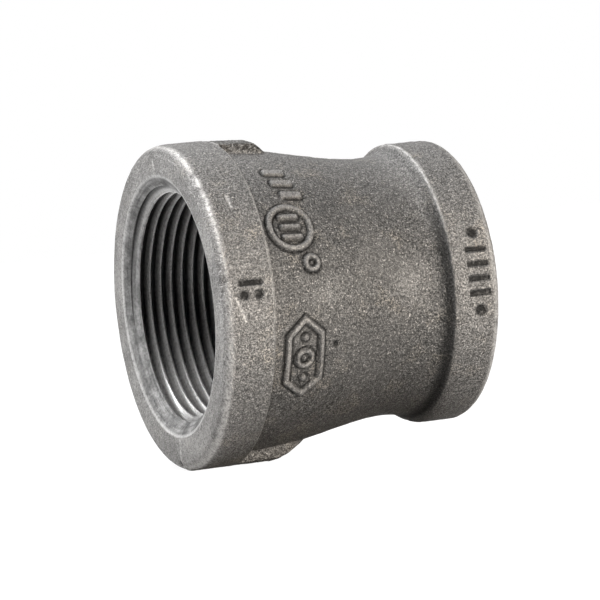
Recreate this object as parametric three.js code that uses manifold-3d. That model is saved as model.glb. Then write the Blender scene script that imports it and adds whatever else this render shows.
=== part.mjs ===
// Threaded reducing coupling: one malleable-iron casting that joins a 1-1/2 inch
// pipe to a 1-1/4 inch pipe, with a tapered pipe thread cut in each end.
//
// Millimetres. The origin is on the bore's axis, midway between the two faces. +X runs
// along the bore to the small end, +Z is up, and the two lugs lie in the XZ plane. The
// casting is drawn from the large end's face at x = 0 and centred at the end.

import * as THREE from 'three';
import { mergeVertices } from 'three/addons/utils/BufferGeometryUtils.js';
import Module from 'manifold-3d';

const wasm = await Module();
wasm.setup();

// --- driving dimensions -------------------------------------------------------

const LENGTH = 58.2;                     // face to face
const LARGE_END = {
  bandRadius: 31.5,
  bandWidth: 10.5,
  faceRound: 2.2,                        // radius of the band's edge at the face
  pitchRadius: 45.62 / 2,                // of the thread, at the face
  threadLength: 18,
};
const SMALL_END = {
  bandRadius: 27.8,
  bandWidth: 10.0,
  faceRound: 2.2,
  pitchRadius: 39.55 / 2,
  threadLength: 17,
};

// The pipe thread: 11.5 turns to the inch, tapering 1 in 16 on the diameter.
const PITCH = 25.4 / 11.5;
const THREAD_HEIGHT = 0.8 * PITCH;
const CREST_WIDTH = 0.1 * PITCH;         // flat on each crest and in each groove
const RADIUS_LOSS = 1 / 32;              // lost for each mm of depth
const FIRST_GROOVE = 1.35;               // depth of the first groove on the +Y side
const COUNTERSINK = { width: 1.6, depth: 1.2 };

// The body between the bands.
const BACK_ROUND = 1.5;                  // radius of the large band's back edge
const SHOULDER = { run: 0.6, radius: 29.75 };
const WAIST = { x: 42.2, radius: 25.3 };
const COVE_RISE = 0.5;                   // what the cove leaves below the small band

// The two lugs, which run back from the large band on the mould's parting plane.
const LUGS = {
  width: 15,
  crestRadius: 31.4,
  crestDrop: 0.2,                        // the crest's draft, from the band to its end
  crestEnd: 17.2,
  endX: 22,
  endRadius: 28.2,                       // just inside the body's surface
};

const BODY_SEGMENTS = 60;
const THREAD_SEGMENTS = 36;              // in one turn
const ARC_STEPS = 3;
const BODY_STEPS = 8;

// --- outlines: x along the bore, y as the radius --------------------------------

function at(x, radius) {
  return new THREE.Vector2(x, radius);
}

// Points of a curve without its first one, so that stretches join end to end.
function alongCurve(curve, steps) {
  return curve.getPoints(steps).slice(1);
}

// A quarter circle that runs clockwise from the angle start about its centre.
function roundedEdge(centre, radius, start) {
  const arc = new THREE.EllipseCurve(
    centre.x, centre.y, radius, radius, start, start - Math.PI / 2, true);
  return arc.getPoints(ARC_STEPS);
}

function bodyOutline() {
  const start = LARGE_END.bandWidth + SHOULDER.run;
  const end = LENGTH - SMALL_END.bandWidth;
  const taper = new THREE.CubicBezierCurve(
    at(start, SHOULDER.radius),
    at(start + 13, SHOULDER.radius - 0.25),
    at(WAIST.x - 9, WAIST.radius),
    at(WAIST.x, WAIST.radius));
  const cove = new THREE.CubicBezierCurve(
    at(WAIST.x, WAIST.radius),
    at(WAIST.x + 2.7, WAIST.radius),
    at(end - 1.2, SMALL_END.bandRadius - COVE_RISE - 1.4),
    at(end, SMALL_END.bandRadius - COVE_RISE));
  return [
    at(start, SHOULDER.radius),
    ...alongCurve(taper, BODY_STEPS),
    ...alongCurve(cove, BODY_STEPS / 2),
  ];
}

function outsideOutline() {
  const large = LARGE_END;
  const small = SMALL_END;
  const back = at(large.bandWidth - BACK_ROUND, large.bandRadius - BACK_ROUND);
  const largeRim = at(large.faceRound, large.bandRadius - large.faceRound);
  const smallRim = at(LENGTH - small.faceRound, small.bandRadius - small.faceRound);
  return [
    at(0, 0),
    ...roundedEdge(largeRim, large.faceRound, Math.PI),
    ...roundedEdge(back, BACK_ROUND, Math.PI / 2),
    ...bodyOutline(),
    at(LENGTH - small.bandWidth + COVE_RISE, small.bandRadius),
    ...roundedEdge(smallRim, small.faceRound, Math.PI / 2),
    at(LENGTH, 0),
  ];
}

// The lugs' shape along the bore, as a turned disc that the lug bar is cut from.
function lugOutline() {
  const start = LARGE_END.bandWidth - 2;
  const crestEnd = at(LUGS.crestEnd, LUGS.crestRadius - LUGS.crestDrop);
  const slope = new THREE.QuadraticBezierCurve(
    crestEnd,
    at(LUGS.crestEnd + 2.4, crestEnd.y - 0.6),
    at(LUGS.endX, LUGS.endRadius));
  return [
    at(start, 0),
    at(start, LUGS.crestRadius),
    crestEnd,
    ...alongCurve(slope, ARC_STEPS),
    at(LUGS.endX, 0),
  ];
}

// Thread radii where the thread meets the face of its end.
function majorRadius(end) {
  return end.pitchRadius + THREAD_HEIGHT / 2;
}

function minorRadius(end) {
  return end.pitchRadius - THREAD_HEIGHT / 2;
}

// Half of the hollow, from outside one face to where the chamber begins: a
// countersink, a core hole inside the thread, and a 45 degree step to the chamber.
// Depth is measured from that end's face.
function hollowSteps(end) {
  const flare = COUNTERSINK.width / COUNTERSINK.depth;
  const mouth = majorRadius(end) + COUNTERSINK.width;
  const core = minorRadius(end) - 1;
  const chamber = majorRadius(end);
  return [
    [-1, 0],
    [-1, mouth + flare],
    [(mouth - core) / flare, core],
    [end.threadLength - 1, core],
    [end.threadLength - 1 + chamber - core, chamber],
  ];
}

function hollowOutline() {
  const fromLarge = hollowSteps(LARGE_END).map(([depth, r]) => at(depth, r));
  const fromSmall = hollowSteps(SMALL_END).map(([depth, r]) => at(LENGTH - depth, r));
  return [...fromLarge, ...fromSmall.reverse()];
}

// --- solids ---------------------------------------------------------------------

// Turns an outline about the X axis.
function turned(outline, segments) {
  const profile = outline.map((point) => at(point.y, point.x));
  return new THREE.LatheGeometry(profile, segments).rotateZ(-Math.PI / 2);
}

// A flat bar right through the casting; the hollow is cut out of its middle later.
function lugBar() {
  const reach = 2 * LARGE_END.bandRadius + 1;
  const bar = new THREE.BoxGeometry(2 * LUGS.endX, LUGS.width, reach);
  return toSolid(bar).intersect(toSolid(turned(lugOutline(), BODY_SEGMENTS)));
}

// One turn of the thread cutter's edge, as [distance along the axis, radius].
function cutterEdge(end) {
  const flank = (PITCH - 2 * CREST_WIDTH) / 2;
  return [
    [0, majorRadius(end)],
    [CREST_WIDTH, majorRadius(end)],
    [CREST_WIDTH + flank, minorRadius(end)],
    [PITCH - flank, minorRadius(end)],
  ];
}

// A right-hand tap: a solid screw with its own taper, closed at both ends by a fan to
// a point on the axis. Each row of the mesh is one edge of the thread, wound once
// round the axis, so it ends where the row one pitch further in begins.
function tap(end) {
  const edge = cutterEdge(end);
  const lead = 3 * PITCH;                // turns that stand outside the face
  const turns = Math.ceil((end.threadLength + 0.5 * PITCH + lead) / PITCH);
  const rows = turns * edge.length;
  const positions = [];
  for (let row = 0; row <= rows; row += 1) {
    const [along, radius] = edge[row % edge.length];
    const start = FIRST_GROOVE - CREST_WIDTH / 2 - lead
      + Math.floor(row / edge.length) * PITCH + along;
    for (let step = 0; step <= THREAD_SEGMENTS; step += 1) {
      const turn = step / THREAD_SEGMENTS;
      const x = start + turn * PITCH;
      const r = radius - RADIUS_LOSS * x;
      const angle = turn * 2 * Math.PI;
      positions.push(x, r * Math.cos(angle), r * Math.sin(angle));
    }
  }
  const firstX = positions[0];
  const lastX = positions[positions.length - 3];
  positions.push(firstX - 1, 0, 0, lastX + 1, 0, 0);

  const columns = THREAD_SEGMENTS + 1;
  const nearTip = (rows + 1) * columns;
  const farTip = nearTip + 1;
  const vertex = (row, step) => row * columns + step;
  const index = [];
  for (let row = 0; row < rows; row += 1) {
    for (let step = 0; step < THREAD_SEGMENTS; step += 1) {
      const a = vertex(row, step);
      const b = vertex(row + 1, step);
      const c = vertex(row + 1, step + 1);
      const d = vertex(row, step + 1);
      index.push(a, c, b, a, d, c);
    }
  }
  for (let step = 0; step < THREAD_SEGMENTS; step += 1) {
    index.push(nearTip, vertex(0, step + 1), vertex(0, step));
    index.push(farTip, vertex(rows, step), vertex(rows, step + 1));
  }
  for (let row = 0; row < edge.length; row += 1) {
    index.push(nearTip, vertex(row, 0), vertex(row + 1, 0));
    const last = rows - row;
    index.push(farTip, vertex(last, THREAD_SEGMENTS), vertex(last - 1, THREAD_SEGMENTS));
  }
  const geometry = new THREE.BufferGeometry();
  geometry.setAttribute('position', new THREE.Float32BufferAttribute(positions, 3));
  geometry.setIndex(index);
  return geometry;
}

// --- joining and cutting ----------------------------------------------------------

function toSolid(geometry) {
  const bare = geometry.clone();
  bare.deleteAttribute('normal');
  bare.deleteAttribute('uv');
  const merged = mergeVertices(bare, 1e-4);
  return new wasm.Manifold(new wasm.Mesh({
    numProp: 3,
    vertProperties: merged.attributes.position.array,
    triVerts: new Uint32Array(merged.index.array),
  }));
}

function toGeometry(solid) {
  const mesh = solid.getMesh();
  const geometry = new THREE.BufferGeometry();
  geometry.setAttribute('position', new THREE.BufferAttribute(mesh.vertProperties, 3));
  geometry.setIndex(new THREE.BufferAttribute(mesh.triVerts, 1));
  geometry.computeVertexNormals();
  return geometry;
}

function casting() {
  const blank = toSolid(turned(outsideOutline(), BODY_SEGMENTS))
    .add(lugBar());
  return toGeometry(blank
    .subtract(toSolid(turned(hollowOutline(), THREAD_SEGMENTS)))
    .subtract(toSolid(tap(LARGE_END)))
    .subtract(toSolid(tap(SMALL_END).rotateZ(Math.PI).translate(LENGTH, 0, 0))));
}

// --- the part -----------------------------------------------------------------------

const blackIron = new THREE.MeshStandardMaterial({
  color: 0x56534f,
  roughness: 0.7,
  metalness: 0.6,
});

const couplingCasting = new THREE.Mesh(casting(), blackIron);
couplingCasting.name = 'coupling_casting';
couplingCasting.position.x = -LENGTH / 2;

const coupling = new THREE.Group();
coupling.add(couplingCasting);

export default coupling;
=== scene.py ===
"""A black-iron reducing coupling: one sand casting, countersunk and tapped at both ends."""
import math

import bmesh
import bpy
import numpy as np
from mathutils import Euler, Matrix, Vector, noise


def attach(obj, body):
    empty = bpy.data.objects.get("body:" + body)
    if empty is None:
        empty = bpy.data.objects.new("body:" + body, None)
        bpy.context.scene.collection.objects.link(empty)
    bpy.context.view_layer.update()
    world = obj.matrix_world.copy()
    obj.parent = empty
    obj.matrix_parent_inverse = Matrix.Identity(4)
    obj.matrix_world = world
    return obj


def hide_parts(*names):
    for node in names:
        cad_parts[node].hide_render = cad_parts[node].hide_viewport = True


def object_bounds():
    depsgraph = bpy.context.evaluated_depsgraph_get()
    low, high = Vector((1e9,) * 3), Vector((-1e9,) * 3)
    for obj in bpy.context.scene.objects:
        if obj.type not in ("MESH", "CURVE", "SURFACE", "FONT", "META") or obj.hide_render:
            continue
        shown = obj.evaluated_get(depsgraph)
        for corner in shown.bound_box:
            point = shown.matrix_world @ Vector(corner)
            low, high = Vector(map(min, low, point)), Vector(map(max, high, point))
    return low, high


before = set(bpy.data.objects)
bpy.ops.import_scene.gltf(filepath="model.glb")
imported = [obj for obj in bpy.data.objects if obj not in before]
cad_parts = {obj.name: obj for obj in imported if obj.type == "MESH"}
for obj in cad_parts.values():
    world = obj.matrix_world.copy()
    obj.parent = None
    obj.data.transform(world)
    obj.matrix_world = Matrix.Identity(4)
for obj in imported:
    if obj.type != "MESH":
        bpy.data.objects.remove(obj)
cad_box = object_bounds()

# ---------------------------------------------------------------- sizes, in millimetres

MM = 0.001
NODE = "coupling_casting"


def cad_rings():
    """The CAD casting's points, as distance along the bore and radius."""
    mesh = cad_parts[NODE].data
    points = np.empty(len(mesh.vertices) * 3)
    mesh.vertices.foreach_get("co", points)
    points = points.reshape(-1, 3) / MM
    return points[:, 0], np.hypot(points[:, 1], points[:, 2])


CAD_X, CAD_R = cad_rings()
FACE_X = CAD_X.min()                  # the large end's face; x below is counted from it
LENGTH = CAD_X.max() - FACE_X
CAD_X = CAD_X - FACE_X
ON_FACE = 0.01                        # points this near a face belong to it

SKIN = 0.12                           # the large band, under its bumps, is this far inside the CAD's
FACE_INSET = 0.06                     # and the two faces are this far inside the CAD's faces

PITCH = 25.4 / 11.5
THREAD_HEIGHT = 0.8 * PITCH
RADIUS_LOSS = 1 / 32                  # the thread's taper, for each mm of depth
FIRST_GROOVE = 1.35                   # depth of the first groove on the +Y side
COUNTERSINK_WIDTH = 1.6
COUNTERSINK_FLARE = 4 / 3             # radius lost for each mm of depth
LIP = 0.45                            # width of the worn edge round each mouth
CORE_STEP = 1.0                       # radius from the thread's crests in to the cored bore
CHATTER = 0.02                        # how far the tap's chatter goes in and out


class End:
    """One end of the coupling, with its band outside and its thread inside."""

    def __init__(self, from_face, inside, band_width, socket_depth, bore_shift):
        self.band_radius = CAD_R[from_face < LENGTH / 8].max() - inside
        self.mouth = CAD_R[from_face < ON_FACE].min()
        self.major = self.mouth - COUNTERSINK_WIDTH
        self.minor = self.major - THREAD_HEIGHT
        self.band_width = band_width
        self.socket_depth = socket_depth
        self.bore_shift = bore_shift


# Each end's band sits inside the CAD's, the small one further in. The last pair is how far
# that end was tapped off the casting's axis, along Y and Z.
LARGE = End(CAD_X, SKIN, 0.174 * LENGTH, 18.0, (-0.28, 0.47))
SMALL = End(LENGTH - CAD_X, 2 * SKIN, 0.172 * LENGTH, 17.0, (0.0, 0.0))
SMALL_BAND_X = LENGTH - SMALL.band_width

RIM_ROUND = 2.2                       # both bands' edges at the faces
BACK_ROUND = 0.6                      # the large band's edge at the body
BACK_TILT = 0.8                       # how far that edge leans, at the top and bottom
SHOULDER_RADIUS = 0.941 * LARGE.band_radius
WAIST_RADIUS = 0.804 * LARGE.band_radius
WAIST_X = 0.725 * LENGTH
COVE_RISE = 0.5                       # the step from the cove up to the small band
COVE_SAG = 0.5                        # radius lost at that step, on the casting's underside

# The lugs, as angles from the parting plane and as a crest along the bore.
LUG_CREST_ANGLE = 13.5
LUG_FOOT_ANGLE = 15.3
LUG_RADIUS = LARGE.band_radius - 0.05
LUG_DRAFT = 0.04                      # crest height lost for each mm along the bore
LUG_HEIGHT = 2.0                      # lost down the lug's end
TOP_LUG = (0.3 * LENGTH, 0.349 * LENGTH)
BOTTOM_LUG = (0.303 * LENGTH, 0.372 * LENGTH)

# Relief on the outside, and how far the casting's own lumps go in and out.
SWELL_HEIGHT = 0.05
RIPPLE_HEIGHT = 0.035
GRIT_HEIGHT = 0.03
LUG_RIPPLE_HEIGHT = 0.05              # added on the lugs, as the next is
LUG_GRIT_HEIGHT = 0.09
MARK_HEIGHT = 0.5
CREASE_DEPTH = 0.2                    # the sunk line round each raised mark
SEAM_HEIGHT = 0.12
STAMP_DEPTH = 0.4
BURR_HEIGHT = 0.05                    # the ridge round each stamped mark
KNOCK_DEPTH = 0.2
VOID_DEPTH = 0.45
BODY_ROOM = 1.0                       # the furthest that all of it may stand out on the body,
BAND_ROOM = 0.1                       # on the bands
FACE_ROOM = 0.05                      # and on the two faces

# Rows down the body, closer together near the large band, where the marks are.
BODY_ROWS = np.linspace(0, 1, 96)[1:] ** 1.35
OUTSIDE_COLUMNS = 345                 # points round the outside, and round each socket
LARGE_COLUMNS = 150
SMALL_COLUMNS = 100

# ---------------------------------------------------------------- small helpers


def smooth(low, high, value):
    """0 below low, 1 above high, with a soft step between them."""
    t = np.clip((value - low) / (high - low), 0, 1)
    return t * t * (3 - 2 * t)


def bell(value, middle, width):
    """1 at the middle, fading to 0 a few widths away from it."""
    return np.exp(-((value - middle) / width) ** 2)


def line(start, end, steps):
    """Points on a straight line, without its start."""
    t = np.linspace(0, 1, steps + 1)[1:, None]
    return (1 - t) * np.array(start) + t * np.array(end)


def arc(centre, radius, start, end, steps):
    """Points on a circle in the outline's plane, from one angle to another in degrees."""
    turn = np.radians(np.linspace(start, end, steps + 1)[1:])
    return np.column_stack([centre[0] + radius * np.cos(turn), centre[1] + radius * np.sin(turn)])


def bezier(a, b, c, d, steps):
    """Points along a curve, where steps is a number or the steps' own shares of the curve."""
    shares = np.linspace(0, 1, steps + 1)[1:] if np.isscalar(steps) else steps
    t = shares[:, None]
    a, b, c, d = map(np.array, (a, b, c, d))
    return (1 - t) ** 3 * a + 3 * (1 - t) ** 2 * t * b + 3 * (1 - t) * t ** 2 * c + t ** 3 * d


def lumps(x, radius, turn, size, seed):
    """Soft noise from -1 to 1 at each point of a grid, with bumps of about the given size."""
    shift = Vector((seed * 17.3, seed * 5.1, seed * 9.7))
    y = radius * np.cos(turn)
    z = radius * np.sin(turn)
    points = np.column_stack([x.ravel(), y.ravel(), z.ravel()])
    heights = [noise.noise(Vector(point) / size + shift) for point in points]
    return np.array(heights).reshape(x.shape)


# ---------------------------------------------------------------- the outside's outline


def outside_outline():
    """The casting's outside as (x, radius) points, from the large mouth to the small one."""
    large, small = LARGE, SMALL
    rim_x = RIM_ROUND + FACE_INSET
    rim_r = large.band_radius - RIM_ROUND
    back_x = large.band_width - BACK_ROUND
    back_r = large.band_radius - BACK_ROUND
    shoulder = (large.band_width + 0.7, SHOULDER_RADIUS)
    waist = (WAIST_X, WAIST_RADIUS)
    cove_end = (SMALL_BAND_X, small.band_radius - COVE_RISE)
    band_x = SMALL_BAND_X + COVE_RISE
    far_x = LENGTH - FACE_INSET
    far_rim_x = far_x - RIM_ROUND
    far_rim_r = small.band_radius - RIM_ROUND
    parts = [
        [(FACE_INSET, large.mouth + LIP)],
        line((FACE_INSET, large.mouth + LIP), (FACE_INSET, rim_r), 8),
        arc((rim_x, rim_r), RIM_ROUND, 180, 90, 10),
        line((rim_x, large.band_radius), (back_x, large.band_radius), 26),
        arc((back_x, back_r), BACK_ROUND, 90, 0, 5),
        bezier((large.band_width, back_r), (large.band_width, SHOULDER_RADIUS + 0.4),
               (large.band_width + 0.2, SHOULDER_RADIUS), shoulder, 6),
        bezier(shoulder, (shoulder[0] + 13, SHOULDER_RADIUS - 0.25), (WAIST_X - 9, WAIST_RADIUS),
               waist, BODY_ROWS),
        bezier(waist, (WAIST_X + 3.2, WAIST_RADIUS), (SMALL_BAND_X - 1.2, cove_end[1] - 1.3),
               cove_end, 18),
        arc((band_x, cove_end[1]), COVE_RISE, 180, 90, 4),
        line((band_x, small.band_radius), (far_rim_x, small.band_radius), 22),
        arc((far_rim_x, far_rim_r), RIM_ROUND, 90, 0, 9),
        line((far_x, far_rim_r), (far_x, small.mouth + LIP), 4),
    ]
    return np.vstack(parts)


def outline_normals(outline):
    """Unit vectors that point out of the casting, square to the outline."""
    along = np.gradient(outline, axis=0)
    along /= np.linalg.norm(along, axis=1)[:, None]
    return np.column_stack([-along[:, 1], along[:, 0]])


def column_angles():
    """Angles round the bore, from the -Y side towards +Z, closer together where there is detail."""
    fine = np.linspace(-180, 180, 7201)
    marked = smooth(-58, -48, fine) * (1 - smooth(62, 72, fine))
    from_parting = abs(abs(fine) - 90)
    from_lug_side = abs(from_parting - (LUG_CREST_ANGLE + LUG_FOOT_ANGLE) / 2)
    density = 1 + 3 * marked + 5 * (1 - smooth(1.2, 2.5, from_lug_side))
    density += 4 * (1 - smooth(1, 2, from_parting))
    filled = np.concatenate([[0], np.cumsum((density[1:] + density[:-1]) / 2)])
    return np.interp(np.linspace(0, filled[-1], OUTSIDE_COLUMNS + 1)[:-1], filled, fine)


# ---------------------------------------------------------------- marks on the outside
# A place is the x, angle and radius of the points. A mark's shape is a signed distance, below
# 0 inside it, where u runs along the bore and v round it, in millimetres from its centre.


def from_mark(place, mark_x, mark_angle):
    """u and v for a mark, whose x is given as a share of the length."""
    x, angle, radius = place
    return x - mark_x * LENGTH, np.radians(angle - mark_angle) * radius


def box_shape(u, v, half_u, half_v, corner):
    du = abs(u) - (half_u - corner)
    dv = abs(v) - (half_v - corner)
    outside = np.hypot(np.maximum(du, 0), np.maximum(dv, 0))
    return outside + np.minimum(np.maximum(du, dv), 0) - corner


def disc_shape(u, v, radius):
    return np.hypot(u, v) - radius


def hexagon_shape(u, v, half_u, half_v):
    """A hexagon that stands on a point, with upright sides and sloping shoulders."""
    return np.maximum(abs(u) - half_u, (abs(v) - half_v + abs(u) * 0.9) * 0.74)


def knock_shape(place, start, end):
    """A thin line between two places, each given as a share of the length and an angle."""
    u0, v0 = from_mark(place, *start)
    u1 = (end[0] - start[0]) * LENGTH
    v1 = np.radians(end[1] - start[1]) * place[2]
    along = np.clip((u0 * u1 + v0 * v1) / (u1 * u1 + v1 * v1), 0, 1)
    return np.hypot(u0 - along * u1, v0 - along * v1) - 0.15


def frame_shape(shape, width):
    return abs(shape) - width / 2


def solid(shape, edge):
    """1 inside a shape and 0 outside it, with a sloping edge."""
    return 1 - smooth(-edge / 2, edge, shape)


def raised_marks(place):
    """Generic foundry marks that stand proud of the body, as the distance to their outlines."""
    u, v = from_mark(place, 0.282, 28)
    shapes = [frame_shape(disc_shape(u, v, 4.4), 0.95)]
    shapes += [box_shape(u, v - shift, 2.1, 0.42, 0.2) for shift in (-2.1, 0, 2.1)]
    for bar_x, bar_angle in ((0.325, 42.5), (0.31, 49), (0.3, 55.5)):
        u, v = from_mark(place, bar_x, bar_angle)
        shapes.append(box_shape(u, v, 2.3, 0.75, 0.4))
    u, v = from_mark(place, 0.333, 13.5)
    shapes.append(frame_shape(disc_shape(u, v, 1.3), 0.8))
    u, v = from_mark(place, 0.288, -22)
    shapes.append(frame_shape(hexagon_shape(u, v, 3.4, 7.6), 0.9))
    shapes.append(frame_shape(disc_shape(u, v, 1.5), 0.75))
    shapes += [disc_shape(u, v - shift, 0.6) for shift in (-4.1, 4.1)]
    return np.minimum.reduce(shapes)


def stamped_marks(place):
    """Generic bars and dots stamped into the two bands, as the distance to their outlines."""
    u, v = from_mark(place, 0.096, 5.8)
    shapes = [box_shape(u, v - 1.2, 2.2, 0.5, 0.2)]
    shapes += [disc_shape(u - shift, v + 1.1, 0.8) for shift in (-1.4, 1.4)]
    u, v = from_mark(place, 0.922, 3.8)
    shapes += [disc_shape(u, v - shift, 1.0) for shift in (-7.6, 7.6)]
    shapes += [box_shape(u, v - shift, 2.1, 0.45, 0.2) for shift in (-4.2, -1.4, 1.4, 4.2)]
    return np.minimum.reduce(shapes)


def knocks(place):
    """Two short scratches across the large band."""
    return np.minimum(
        knock_shape(place, (0.088, 41), (0.093, 36)), knock_shape(place, (0.042, 3), (0.07, -5)))


def voids(place, outline):
    """Small holes left by the sand, on the body and in the large end's rim, as the distance to them."""
    shapes = []
    for void_x, void_angle, size in ((0.402, -18.5, 0.5), (0.004, -91, 0.6)):
        u, v = from_mark(place, void_x, void_angle)
        down = place[2] - np.interp(void_x * LENGTH, outline[:, 0], outline[:, 1])
        shapes.append(np.sqrt(u ** 2 + v ** 2 + down ** 2) - size)
    return np.minimum.reduce(shapes)


def painted_glints(place):
    """Two painted glints: spots on the front of the body where the grain is drawn paler."""
    spots = 0
    for spot_x, spot_angle, size in ((0.383, 2, 2.6), (0.695, 1, 3.2)):
        u, v = from_mark(place, spot_x, spot_angle)
        spots = spots + bell(np.hypot(u, v), 0, size)
    return spots


# ---------------------------------------------------------------- building the mesh


class Skin:
    """Vertices, faces and the per-vertex values that the materials read."""

    def __init__(self):
        self.points = []
        self.faces = []
        # Per-point values: wear with painted highlights, painted shade, coarse sand, and a paler finish
        # with painted light.
        self.values = {"worn": [], "pit": [], "coarse": [], "handled": []}
        self.count = 0

    def add_points(self, x, radius, angle, shift=(0.0, 0.0), **values):
        """Adds points given as x, radius and angle from +Y towards +Z, and returns their numbers.

        shift moves their circles' centres off the casting's axis, along Y and Z.
        """
        x, radius, angle = np.broadcast_arrays(x, radius, angle)
        y = radius * np.cos(angle) + shift[0]
        z = radius * np.sin(angle) + shift[1]
        self.points.append(np.column_stack([x.ravel() + FACE_X, y.ravel(), z.ravel()]))
        for name, stored in self.values.items():
            stored.append(np.broadcast_to(values.get(name, 0.0), x.shape).ravel())
        first = self.count
        self.count += x.size
        return np.arange(first, self.count).reshape(x.shape)

    def grid(self, numbers, slot):
        """Faces between the rows of a grid whose last column joins its first."""
        after = np.roll(numbers, -1, axis=1)
        quads = np.stack([numbers[:-1], after[:-1], after[1:], numbers[1:]], axis=-1)
        self.faces += [(tuple(quad), slot) for quad in quads.reshape(-1, 4).tolist()]

    def stitch(self, ring_a, angles_a, ring_b, angles_b, slot):
        """Triangles between two closed rings with different numbers of points."""
        ring_a, angles_a = in_order(ring_a, angles_a)
        ring_b, angles_b = in_order(ring_b, angles_b)
        a = b = 0
        while a < len(ring_a) - 1 or b < len(ring_b) - 1:
            step_a = b == len(ring_b) - 1 or (
                a < len(ring_a) - 1 and angles_a[a + 1] <= angles_b[b + 1])
            if step_a:
                self.faces.append(((ring_a[a], ring_a[a + 1], ring_b[b]), slot))
                a += 1
            else:
                self.faces.append(((ring_a[a], ring_b[b + 1], ring_b[b]), slot))
                b += 1


def in_order(ring, angles):
    """A ring that starts at its smallest angle, runs upwards and ends where it began."""
    angles = np.mod(angles, 2 * math.pi)
    order = np.argsort(angles)
    ring = [int(ring[i]) for i in order]
    return ring + ring[:1], np.append(angles[order], angles[order][0] + 2 * math.pi)


CAST, CUT = 0, 1                      # material slots


def lug_lift(x, r, angle):
    """How far the two lugs raise each point."""
    lug = 1 - smooth(LUG_CREST_ANGLE, LUG_FOOT_ANGLE, abs(abs(angle) - 90))
    upper = angle > 0
    crest_end = np.where(upper, TOP_LUG[0], BOTTOM_LUG[0])
    end = np.where(upper, TOP_LUG[1], BOTTOM_LUG[1])
    down = np.maximum((x - crest_end) / (end - crest_end), 0)
    draft = np.where(upper, LUG_DRAFT, 0) * np.clip(x - LARGE.band_width, 0, crest_end)
    crest = LUG_RADIUS - draft - LUG_HEIGHT * down ** 1.4
    behind = (x > LARGE.band_width - BACK_ROUND) & (x < end + 3)
    return np.where(behind, lug * np.maximum(crest - r, 0), 0)


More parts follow.
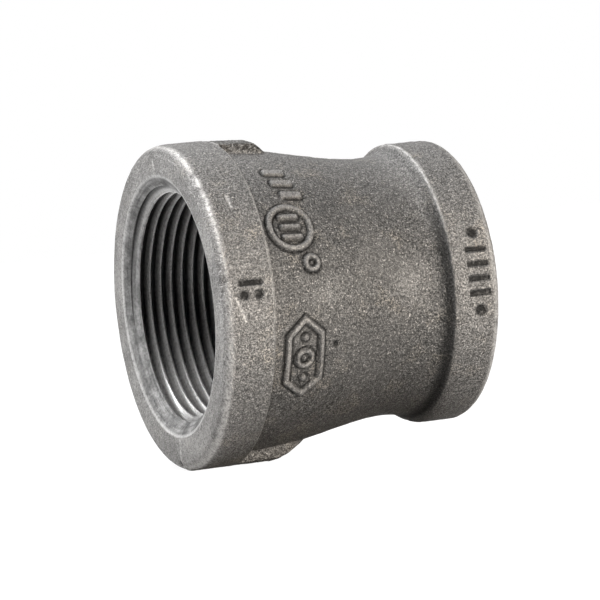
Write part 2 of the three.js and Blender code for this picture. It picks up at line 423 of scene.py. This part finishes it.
class Outside:
    """The as-cast outside as a grid: a row for each outline point and a column for each angle.

    Its zones and marks are grids too, from 0 outside them to 1 inside them.
    """

    def __init__(self):
        self.outline = outside_outline()
        self.degrees = column_angles()
        self.x = np.repeat(self.outline[:, :1], len(self.degrees), axis=1)
        self.r = np.repeat(self.outline[:, 1:], len(self.degrees), axis=1)
        self.angle = np.repeat(self.degrees[None], len(self.outline), axis=0)
        self.turn = np.pi - np.radians(self.angle)
        self.up = np.sin(np.radians(self.angle))        # 1 at the casting's top, -1 at its bottom
        normals = outline_normals(self.outline)
        self.nx, self.nr = normals[:, :1], normals[:, 1:]
        self.swell = lumps(self.x, self.r, self.turn, 7.0, 1)
        self.ripple = lumps(self.x, self.r, self.turn, 1.7, 2)
        self.grit = lumps(self.x, self.r, self.turn, 0.75, 3)
        self.add_zones()
        self.add_marks()
        self.move_points()

    def add_zones(self):
        """The lugs, the end faces and the body between the two bands."""
        self.lift = lug_lift(self.x, self.r, self.angle)
        self.on_lug = smooth(0.1, 0.8, self.lift)
        self.on_face = abs(self.nx) > 0.9
        behind_band = smooth(0, 0.4, self.x - LARGE.band_width)
        self.on_body = behind_band * (1 - smooth(-0.4, 0.2, self.x - SMALL_BAND_X))

    def add_marks(self):
        """The marks, knocks, voids and the parting line."""
        place = (self.x, self.angle, self.r)
        mark_edge = raised_marks(place)
        self.raised = solid(mark_edge, 0.3) * self.on_body
        patchy = smooth(-0.9, -0.2, self.ripple + 0.5 * self.grit)
        self.crease = bell(mark_edge, 0.35, 0.24) * self.on_body * patchy
        stamp_edge = stamped_marks(place)
        self.stamped = solid(stamp_edge, 0.3) * ~self.on_face
        self.burr = bell(stamp_edge, 0.35, 0.25) * ~self.on_face
        self.knocked = solid(knocks(place), 0.25) * ~self.on_face
        self.void = solid(voids(place, self.outline), 0.25)
        from_parting = abs(abs(self.angle) - 90) * np.radians(self.r)
        seam = bell(from_parting, 0.4 * self.swell, 0.35 + 0.1 * self.ripple)
        self.seam = seam * (1 - self.on_lug) * smooth(-0.4, 0.6, self.ripple + 0.6)

    def move_points(self):
        """Raises and sinks the surface by all of these. The bands and faces stay inside the CAD's."""
        height = SWELL_HEIGHT * self.swell + RIPPLE_HEIGHT * self.ripple + GRIT_HEIGHT * self.grit
        height += MARK_HEIGHT * self.raised - CREASE_DEPTH * self.crease + SEAM_HEIGHT * self.seam
        height += BURR_HEIGHT * self.burr - STAMP_DEPTH * self.stamped
        height -= KNOCK_DEPTH * self.knocked + VOID_DEPTH * self.void
        height += self.on_lug * (LUG_GRIT_HEIGHT * self.grit + LUG_RIPPLE_HEIGHT * self.ripple)
        off_body_room = np.where(self.on_face, FACE_ROOM, BAND_ROOM)
        height = np.minimum(height, np.where(self.on_body > 0.5, BODY_ROOM, off_body_room))
        sag = COVE_SAG * bell(self.x, SMALL_BAND_X, 1.4) * smooth(20, 80, -self.angle)
        leaning = smooth(3, LARGE.band_width, self.x) * (1 - smooth(LARGE.band_width + 1, 24, self.x))
        self.x = self.x + self.nx * height + BACK_TILT * leaning * self.up
        self.r = self.r + self.nr * height + self.lift - sag

    def bore_shift(self):
        """How far each point follows the large mouth off the casting's axis, along Y and Z."""
        rim_r = LARGE.band_radius - RIM_ROUND
        inward = (rim_r - self.r) / (rim_r - LARGE.mouth)
        share = np.clip(inward, 0, 1) * (self.x < RIM_ROUND)
        return share * LARGE.bore_shift[0], share * LARGE.bore_shift[1]

    def worn(self):
        """Where handling has rubbed the casting down to bright metal, and painted highlights on the rims
        and edges.
        """
        worn = self.worn_edges() + 0.25 * self.raised + 0.3 * self.seam * (1 + 2 * self.on_face)
        worn += 0.8 * self.knocked
        worn += smooth(0.9, 0.99, abs(self.nx)) * (0.46 + 0.25 * self.swell + 0.2 * self.ripple)
        return np.clip(worn, 0, 1)

    def worn_edges(self):
        """Painted highlights, partly wear: the two rims, the step up to the small band and the large
        band's back edge.
        """
        at_face = (self.x < RIM_ROUND) | (self.x > LENGTH - RIM_ROUND)
        # A broad pale band on each rim, partly wear and partly painted reflection, fainter towards the
        # top.
        broad = smooth(0.1, 0.75, self.nr) * (1 - smooth(0.88, 1.0, self.nr))
        broad = broad * (0.75 - 0.35 * smooth(-0.3, 0.5, self.up))
        # A thin painted highlight on each rim, stronger towards the top.
        narrow = bell(self.nr, 0.87, 0.09) * 0.7 * smooth(-0.2, 0.6, self.up)
        # A painted highlight along the step up to the small band, stronger towards the top.
        step = bell(self.x, SMALL_BAND_X + COVE_RISE / 2, 0.3) * (0.15 + 0.6 * smooth(0, 0.7, self.up))
        # A painted highlight along the large band's back edge, stronger towards the top.
        back = bell(self.nr, 0.8, 0.25) * (self.nx > 0.1) * (self.x < LARGE.band_width + 1)
        back = back * (0.15 + 0.35 * smooth(-0.7, 0.3, self.up))
        patchy = smooth(-0.9, 0.3, self.ripple + 0.5 * self.swell + 0.25)
        return ((broad + narrow) * at_face + step + back) * patchy

    def painted_shade(self):
        """Painted shade: darker in the cove, less so at its top, darker behind the large band on the
        underside, and darker in the stamped marks, the creases round the raised marks and the voids.
        """
        row_x = self.outline[:, :1]
        # Painted shade in the cove, fading towards its top.
        cove = 0.75 * bell(row_x, SMALL_BAND_X - 0.7, 1.1) * (1 - 0.9 * smooth(0.25, 0.8, self.up))
        # Painted shade behind the large band, on the underside only.
        corner = 0.6 * bell(row_x, LARGE.band_width + 0.4, 0.6) * (1 - smooth(-0.7, 0.0, self.up))
        # Painted shade in the stamped marks, the creases and the voids.
        marks = 0.95 * self.stamped * smooth(-1.0, -0.2, self.grit) + self.crease + 0.9 * self.void
        return np.clip((marks + cove + corner) * (1 - self.on_lug), 0, 1)

    def coarse(self):
        """The lugs' rough sand surface, rougher on the top one."""
        return self.on_lug * np.where(self.up > 0, 0.75, 0.35)

    def handled(self):
        """Where the grain is paler: the bands and lugs; plus painted light: the top drawn lighter, a
        painted highlight on the cove's top and two painted glints.
        """
        off_body = smooth(0.2, 0.9, 1 - self.on_body * (1 - self.on_lug))
        # Painted light: the top of the body drawn lighter.
        top = 0.7 * smooth(0.55, 0.95, self.up)
        # A painted highlight on the top of the cove.
        cove_top = 0.9 * bell(self.x, SMALL_BAND_X - 2, 2) * smooth(0.2, 0.75, self.up)
        # Two painted glints on the front of the body.
        spots = painted_glints((self.x, self.angle, self.r))
        return np.maximum.reduce([off_body, top, cove_top, spots])


def build_outside(skin):
    """Adds the outside to the mesh. Returns its two edge rings, with their angles."""
    outside = Outside()
    numbers = skin.add_points(
        outside.x, outside.r, outside.turn, outside.bore_shift(),
        worn=outside.worn(), pit=outside.painted_shade(), coarse=outside.coarse(), handled=outside.handled())
    skin.grid(numbers, CAST)
    angles = np.pi - np.radians(outside.degrees)
    return (numbers[0], angles), (numbers[-1], angles)


# A thread turn's rows wind round the bore. They lie at these shares of the pitch from the
# groove's middle, and FLAT is half the width of the flats on its crests and in its grooves.
FLAT = 0.045
CREST = 0.5 - FLAT
TURN_ROWS = np.array([-0.5, -CREST, -0.42, -0.3, -0.16, -0.05, 0.05, 0.16, 0.3, 0.42, CREST])
WOUND_FROM = 1.0                      # depth where the wound rows begin
RUN_OUT = 0.2                         # they end this far past the thread
RING_GAP = 0.12                       # from the wound rows to the straight ring at either end
LIT_SIDE_TURN = math.radians(-60)     # the side of each socket whose thread is painted lighter, as if lit, with thinner painted shade in its grooves


def groove_share(depth, turn):
    """How far each point is from the middle of its groove: 0 there and 0.5 on a crest."""
    phase = (depth - FIRST_GROOVE) / PITCH - turn / (2 * math.pi)
    return abs(phase - np.round(phase))


def socket_radius(end, depth, turn):
    """The bore's radius in one end: the tap's thread, the countersink or the cored chamber.

    The chamber opens at 45 degrees and passes the thread's crests at the socket's depth.
    """
    cut = np.clip((CREST - groove_share(depth, turn)) / (CREST - FLAT), 0, 1)
    thread = end.minor + THREAD_HEIGHT * cut - RADIUS_LOSS * depth
    cone = end.mouth - COUNTERSINK_FLARE * depth
    chamber = np.clip(end.minor + depth - end.socket_depth, end.minor - CORE_STEP, end.major)
    return np.maximum(np.maximum(thread, cone), chamber)


def socket_look(end, depth, radius, turn):
    """The values for the cut metal: crests paler, partly wear and partly painted highlight; painted shade
    in the grooves; painted light on one side; and 1 off the thread.
    """
    share = groove_share(depth, turn)
    into_metal = radius - (end.mouth - COUNTERSINK_FLARE * depth)
    in_thread = smooth(0.0, 0.5, into_metal) * (depth < end.socket_depth + 2)
    # Painted light: the thread on this side is drawn lighter, as if lit.
    lit_side = smooth(0.55, 1.0, np.cos(turn - LIT_SIDE_TURN))
    # Paler crests, partly wear and partly painted highlight; the lit side's flanks get a painted
    # highlight too.
    worn = 0.3 * smooth(0.25, 0.42, share) + 0.7 * smooth(0.42, CREST, share)
    worn = np.clip(worn + 0.6 * lit_side * smooth(0.08, 0.3, share), 0, 1)
    # Painted shade in the grooves, thinner on the lit side.
    pit = (1 - smooth(0.1, 0.4, share)) * (1 - 0.7 * lit_side)
    return {"worn": worn * in_thread, "pit": pit * in_thread, "handled": 1 - in_thread}


def wind(skin, numbers, before, after):
    """Faces along wound rows, which start at the straight ring before them and end at the one after.

    numbers has a column for each angle, with -1 for the points outside the two rings.
    """
    columns = numbers.shape[1]

    def used_rows(column):
        """The column's points, where the one past the last is the first, one turn further in."""
        points = numbers[:, column % columns]
        if column == columns:
            points = np.append(points[len(TURN_ROWS):], [-1] * len(TURN_ROWS))
        used = np.flatnonzero(points >= 0)
        return points.tolist(), int(used[0]), int(used[-1])

    for column in range(columns):
        next_column = (column + 1) % columns
        here, here_first, here_last = used_rows(column)
        there, there_first, there_last = used_rows(column + 1)
        top = max(here_first, there_first)
        bottom = min(here_last, there_last)
        for row in range(top, bottom):
            skin.faces.append(((here[row], there[row], there[row + 1], here[row + 1]), CUT))
        opening = here[here_first:top + 1][::-1]
        opening += [int(before[column]), int(before[next_column])]
        opening += there[there_first:top + 1]
        skin.faces.append((tuple(opening), CUT))
        closing = here[bottom:here_last + 1]
        closing += [int(after[column]), int(after[next_column])]
        closing += there[bottom:there_last + 1][::-1]
        skin.faces.append((tuple(closing), CUT))


def build_socket(skin, end, columns, to_part):
    """One tapped socket. Returns its mouth ring and its inner ring, with their angles."""
    turn = np.linspace(0, 2 * math.pi, columns, endpoint=False)
    wound_to = end.socket_depth + end.major - end.minor + RUN_OUT
    first_turn = math.floor((WOUND_FROM - FIRST_GROOVE) / PITCH) - 2
    turns = math.ceil((wound_to - WOUND_FROM) / PITCH) + 4
    starts = np.concatenate([(first_turn + i + TURN_ROWS) * PITCH for i in range(turns)]) + FIRST_GROOVE

    depth = starts[:, None] + PITCH * turn[None] / (2 * math.pi)
    radius = socket_radius(end, depth, turn)
    radius = radius + CHATTER * lumps(depth * 3, radius, turn, 2.2, 5)
    shown = (depth > WOUND_FROM) & (depth < wound_to)
    look = socket_look(end, depth, radius, turn)
    x, angle = to_part(depth, np.broadcast_to(turn, depth.shape))
    numbers = np.full(depth.shape, -1)
    numbers[shown] = skin.add_points(
        x[shown], radius[shown], angle[shown], end.bore_shift,
        **{name: values[shown] for name, values in look.items()})

    def straight_ring(at_depth, outward=0.0, worn=0.0):
        """A ring down the countersink or below the thread, which may stand out from the bore."""
        ring_x, ring_angle = to_part(np.full(columns, at_depth), turn)
        ring_radius = socket_radius(end, np.full(columns, at_depth), turn) + outward
        return skin.add_points(ring_x, ring_radius, ring_angle, end.bore_shift, handled=1.0, worn=worn)

    mouth = straight_ring(0.08, LIP * 0.6, worn=0.5)
    lip = [straight_ring(0.16, LIP * 0.15, worn=0.6), straight_ring(0.32, worn=0.3)]
    cone = [straight_ring(0.45), straight_ring(0.65)]
    before = straight_ring(WOUND_FROM - RING_GAP)
    after = straight_ring(wound_to + RING_GAP)
    skin.grid(np.stack([mouth, *lip, *cone, before]), CUT)
    wind(skin, numbers, before, after)
    angles = to_part(turn * 0, turn)[1]
    return (mouth, angles), (after, angles)


def in_large_end(depth, turn):
    return depth, turn


def in_small_end(depth, turn):
    """The small end's tap comes from the other side: a half turn about the vertical axis."""
    return LENGTH - depth, np.pi - turn


def make_casting():
    """One closed mesh for the whole fitting."""
    skin = Skin()
    large_rim, small_rim = build_outside(skin)
    large_mouth, large_inner = build_socket(skin, LARGE, LARGE_COLUMNS, in_large_end)
    small_mouth, small_inner = build_socket(skin, SMALL, SMALL_COLUMNS, in_small_end)
    skin.stitch(*large_rim, *large_mouth, CAST)
    skin.stitch(*small_rim, *small_mouth, CAST)
    skin.stitch(*large_inner, *small_inner, CAST)

    mesh = bpy.data.meshes.new("coupling_skin")
    mesh.from_pydata((np.vstack(skin.points) * MM).tolist(), [], [face for face, _ in skin.faces])
    mesh.polygons.foreach_set("material_index", [slot for _, slot in skin.faces])
    for name, stored in skin.values.items():
        attribute = mesh.attributes.new(name, "FLOAT", "POINT")
        attribute.data.foreach_set("value", np.concatenate(stored).astype(np.float32))
    tidy = bmesh.new()
    tidy.from_mesh(mesh)
    bmesh.ops.recalc_face_normals(tidy, faces=tidy.faces)
    tidy.to_mesh(mesh)
    tidy.free()
    mesh.shade_smooth()
    mesh.set_sharp_from_angle(angle=math.radians(38))
    casting = bpy.data.objects.new("cast_iron_coupling", mesh)
    bpy.context.scene.collection.objects.link(casting)
    return casting


# ---------------------------------------------------------------- materials


class Nodes:
    """A short way to write a material's nodes."""

    def __init__(self, name):
        self.material = bpy.data.materials.new(name)
        self.material.use_nodes = True
        self.tree = self.material.node_tree
        self.tree.nodes.clear()

    def add(self, kind, settings=None, **inputs):
        """A node, with its inputs by name, or by number as i0, i1 and so on."""
        node = self.tree.nodes.new("ShaderNode" + kind)
        for name, value in (settings or {}).items():
            setattr(node, name, value)
        for name, value in inputs.items():
            self.set(node, name.replace("_", " "), value)
        return node

    def set(self, node, name, value):
        numbered = name[0] == "i" and name[1:].isdigit()
        socket = node.inputs[int(name[1:])] if numbered else node.inputs[name]
        if isinstance(value, bpy.types.NodeSocket):
            self.tree.links.new(value, socket)
        else:
            socket.default_value = value

    def math(self, operation, a, b=0.0):
        return self.add("Math", {"operation": operation}, i0=a, i1=b).outputs[0]

    def plus(self, a, b):
        return self.math("ADD", a, b)

    def minus(self, a, b):
        return self.math("SUBTRACT", a, b)

    def times(self, a, b):
        return self.math("MULTIPLY", a, b)

    def mix(self, share, a, b):
        return self.add("Mix", {"data_type": "RGBA"}, i0=share, i6=a, i7=b).outputs[2]

    def ramp(self, value, low, high):
        """0 at low and 1 at high."""
        node = self.add("MapRange", {"clamp": True}, Value=value, From_Min=low, From_Max=high)
        return node.outputs["Result"]

    def noise(self, where, scale, detail, roughness):
        node = self.add("TexNoise", Vector=where, Scale=scale, Detail=detail, Roughness=roughness)
        return node.outputs["Fac"]

    def value(self, name):
        """A value stored at the mesh's points."""
        return self.add("Attribute", {"attribute_name": name}).outputs["Fac"]

    def millimetres(self):
        where = self.add("TexCoord").outputs["Object"]
        return self.add("VectorMath", {"operation": "SCALE"}, i0=where, Scale=1 / MM).outputs[0]

    def iron(self, colour, metal, rough, height, depth, strength):
        """Ends the material as iron, with its bumps' depth in millimetres."""
        bump = self.add("Bump", Strength=strength, Distance=depth * MM, Height=height)
        return self.finish(self.add(
            "BsdfPrincipled", Base_Color=colour, Metallic=metal, Roughness=rough, Normal=bump.outputs[0]))

    def finish(self, surface):
        output = self.add("OutputMaterial")
        self.tree.links.new(surface.outputs[0], output.inputs["Surface"])
        return self.material


def grey(level, warmth=0.0):
    return (level * (1 + warmth), level, level * (1 - warmth), 1.0)


def cast_skin():
    """Sand-cast iron with a dark oxide skin: fine sharp grain, worn bright on its edges, with painted
    highlights and painted shade from the mesh's values.
    """
    n = Nodes("cast_iron_skin")
    where = n.millimetres()
    grain = n.noise(where, 3.4, 1.5, 0.6)
    sand = n.noise(where, 1.5, 2.0, 0.6)
    flecks = n.noise(where, 2.6, 1.0, 0.5)
    scuffs = n.noise(where, 1.9, 3.0, 0.7)
    rust = n.noise(where, 0.17, 3.0, 0.6)
    patches = n.noise(where, 0.11, 4.0, 0.55)
    coarse = n.value("coarse")

    speckle = n.plus(n.times(grain, 0.7), n.times(sand, 0.3))
    shade = n.math("POWER", n.ramp(speckle, 0.36, 0.68), 1.5)
    colour = n.mix(shade, grey(0.02, 0.01), grey(0.21, 0.02))
    paler = n.mix(shade, grey(0.05, 0.02), grey(0.37, 0.02))
    # Paler grain on the bands and lugs, with painted light on the top, the cove's top and two glints.
    colour = n.mix(n.times(n.value("handled"), 0.8), colour, paler)
    colour = n.mix(n.times(n.ramp(patches, 0.4, 0.8), 0.3), colour, grey(0.16, 0.03))
    colour = n.mix(n.times(n.ramp(flecks, 0.63, 0.73), 0.45), colour, grey(0.6, 0.04))
    rusty = n.times(n.ramp(rust, 0.54, 0.72), n.ramp(grain, 0.48, 0.62))
    colour = n.mix(n.times(rusty, 0.3), colour, (0.55, 0.48, 0.38, 1))
    colour = n.mix(n.times(coarse, n.ramp(sand, 0.62, 0.4)), colour, grey(0.015, 0.15))
    worn = n.times(n.value("worn"), n.ramp(scuffs, 0.25, 0.6))
    # Wear and painted highlights.
    colour = n.mix(worn, colour, grey(0.62, 0.02))
    # Painted shade in the grooves, creases, the cove and behind the large band.
    colour = n.mix(n.value("pit"), colour, grey(0.004))

    height = n.plus(n.times(grain, 0.8), n.times(sand, 1.2))
    height = n.plus(height, n.times(n.times(sand, coarse), 3.0))
    metal = n.plus(0.6, n.times(worn, 0.2))
    rough = n.minus(0.58, n.times(worn, 0.12))
    return n.iron(colour, metal, rough, height, 0.22, 1.0)


def cut_metal():
    """Bare iron in the countersinks and threads: tool lines round it, painted shade in the grooves,
    painted highlights on the crests.
    """
    n = Nodes("cut_iron_thread")
    where = n.millimetres()
    x, y, z = n.add("SeparateXYZ", i0=where).outputs
    in_large_half = n.math("LESS_THAN", x, 0.0)
    y = n.minus(y, n.times(in_large_half, LARGE.bore_shift[0]))
    z = n.minus(z, n.times(in_large_half, LARGE.bore_shift[1]))
    radius = n.math("SQRT", n.plus(n.times(y, y), n.times(z, z)))
    turn = n.math("ARCTAN2", z, y)
    across = n.plus(n.times(x, 2.0), n.times(radius, 3.0))
    lathe = n.add("CombineXYZ", i0=across, i2=n.times(turn, 1.5)).outputs[0]
    lines = n.noise(lathe, 1.0, 3.0, 0.7)
    spots = n.noise(where, 1.7, 4.0, 0.7)
    blotches = n.noise(where, 0.3, 3.0, 0.6)
    off_thread = n.value("handled")

    shade = n.plus(n.times(n.ramp(lines, 0.3, 0.7), 0.6), n.times(n.ramp(spots, 0.35, 0.7), 0.4))
    thread = n.mix(shade, grey(0.14, 0.01), grey(0.75, 0.01))
    blotchy = n.times(shade, n.ramp(blotches, 0.2, 0.6))
    colour = n.mix(off_thread, thread, n.mix(blotchy, grey(0.04, 0.01), grey(0.55, 0.01)))
    # Crests and the lit side: wear and painted highlights.
    worn = n.times(n.value("worn"), n.ramp(spots, 0.25, 0.5))
    colour = n.mix(worn, colour, grey(0.75, 0.01))
    # Painted shade in the grooves.
    colour = n.mix(n.times(n.value("pit"), 0.9), colour, grey(0.006))

    height = n.plus(n.times(lines, 0.5), n.times(spots, 0.5))
    metal = n.minus(0.75, n.times(off_thread, 0.45))
    rough = n.plus(0.3, n.times(off_thread, 0.36))
    return n.iron(colour, metal, rough, height, 0.1, 0.8)


def floor_paint():
    """A pale floor that the camera sees as white, with only a soft shadow on it."""
    n = Nodes("pale_floor")
    diffuse = n.add("BsdfDiffuse", Color=(0.7, 0.7, 0.7, 1), Roughness=1.0)
    glow = n.add("Emission", Color=(1, 1, 1, 1), Strength=1.12)
    seen = n.add("LightPath").outputs["Is Camera Ray"]
    where = n.add("TexCoord").outputs["Object"]
    away = n.add("VectorMath", {"operation": "LENGTH"}, i0=where).outputs["Value"]
    cover = n.plus(0.85, n.times(n.ramp(away, REACH, 2.5 * REACH), 0.15))
    shader = n.add("MixShader", i0=n.times(seen, cover), i1=diffuse.outputs[0], i2=glow.outputs[0])
    return n.finish(shader)


# ---------------------------------------------------------------- the studio

CENTRE = (cad_box[0] + cad_box[1]) / 2
REACH = LENGTH * MM                   # the fitting's length, in metres


def make_floor():
    half = 40 * REACH
    height = cad_box[0].z
    corners = [(-half, -half, height), (half, -half, height), (half, half, height), (-half, half, height)]
    mesh = bpy.data.meshes.new("floor")
    mesh.from_pydata(corners, [], [(0, 1, 2, 3)])
    mesh.materials.append(floor_paint())
    floor = bpy.data.objects.new("floor", mesh)
    bpy.context.scene.collection.objects.link(floor)


def direction(azimuth, elevation):
    """Unit vector from the fitting towards that azimuth and elevation."""
    a, e = math.radians(azimuth), math.radians(elevation)
    return Vector((math.sin(a) * math.cos(e), -math.cos(a) * math.cos(e), math.sin(e)))


def make_light(name, azimuth, elevation, away, size, power, colour=(1, 1, 1)):
    """A soft oval light that looks at the fitting; away and size are in fitting lengths."""
    lamp = bpy.data.lights.new(name, "AREA")
    lamp.shape = "ELLIPSE"
    lamp.size, lamp.size_y = size[0] * REACH, size[1] * REACH
    lamp.energy = power
    lamp.color = colour
    light = bpy.data.objects.new(name, lamp)
    back = direction(azimuth, elevation)
    light.location = CENTRE + back * away * REACH
    light.rotation_mode = "QUATERNION"
    light.rotation_quaternion = (-back).to_track_quat("-Z", "Y")
    bpy.context.scene.collection.objects.link(light)


def make_world():
    """White behind the fitting, but only a faint light on it."""
    world = bpy.data.worlds.new("studio")
    bpy.context.scene.world = world
    world.use_nodes = True
    tree = world.node_tree
    back = tree.nodes["Background"]
    back.inputs["Color"].default_value = (1, 1, 1, 1)
    path = tree.nodes.new("ShaderNodeLightPath")
    level = tree.nodes.new("ShaderNodeMapRange")
    level.inputs["To Min"].default_value = 0.05
    level.inputs["To Max"].default_value = 1.0
    tree.links.new(path.outputs["Is Camera Ray"], level.inputs["Value"])
    tree.links.new(level.outputs["Result"], back.inputs["Strength"])


def make_camera():
    """A long lens from the fitting's left front, almost level with the bore."""
    data = bpy.data.cameras.new("camera")
    data.lens = 216
    data.sensor_width = 36
    data.clip_start = REACH
    data.clip_end = 200 * REACH
    camera = bpy.data.objects.new("camera", data)
    back = direction(-22.03, 2.03)
    away = 12.05                       # this and the two shifts are in fitting lengths
    sideways, upwards = -0.0206, -0.0207
    roll = Euler((0, 0, math.radians(-5.45))).to_quaternion()
    camera.rotation_mode = "QUATERNION"
    camera.rotation_quaternion = (-back).to_track_quat("-Z", "Y") @ roll
    camera.location = CENTRE + back * away * REACH
    camera.location += camera.rotation_quaternion @ Vector((sideways, upwards, 0)) * REACH
    bpy.context.scene.collection.objects.link(camera)
    bpy.context.scene.camera = camera


casting = make_casting()
casting.data.materials.append(cast_skin())
casting.data.materials.append(cut_metal())
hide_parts(NODE)
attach(casting, "root")

make_floor()
make_world()
make_light("behind_top", 170, 55, 8, (7, 7), 1.2)
make_light("top_left", -80, 62, 8, (4, 4), 1.9)
make_light("left", -125, 27, 8, (5, 4), 1.1)
make_light("top_right", 50, 50, 8, (6, 6), 0.6)
make_light("warm_front", 20, 1, 9, (4, 0.9), 3.7, (1.0, 0.92, 0.82))
make_camera()
bpy.context.scene.view_settings.view_transform = "Standard"
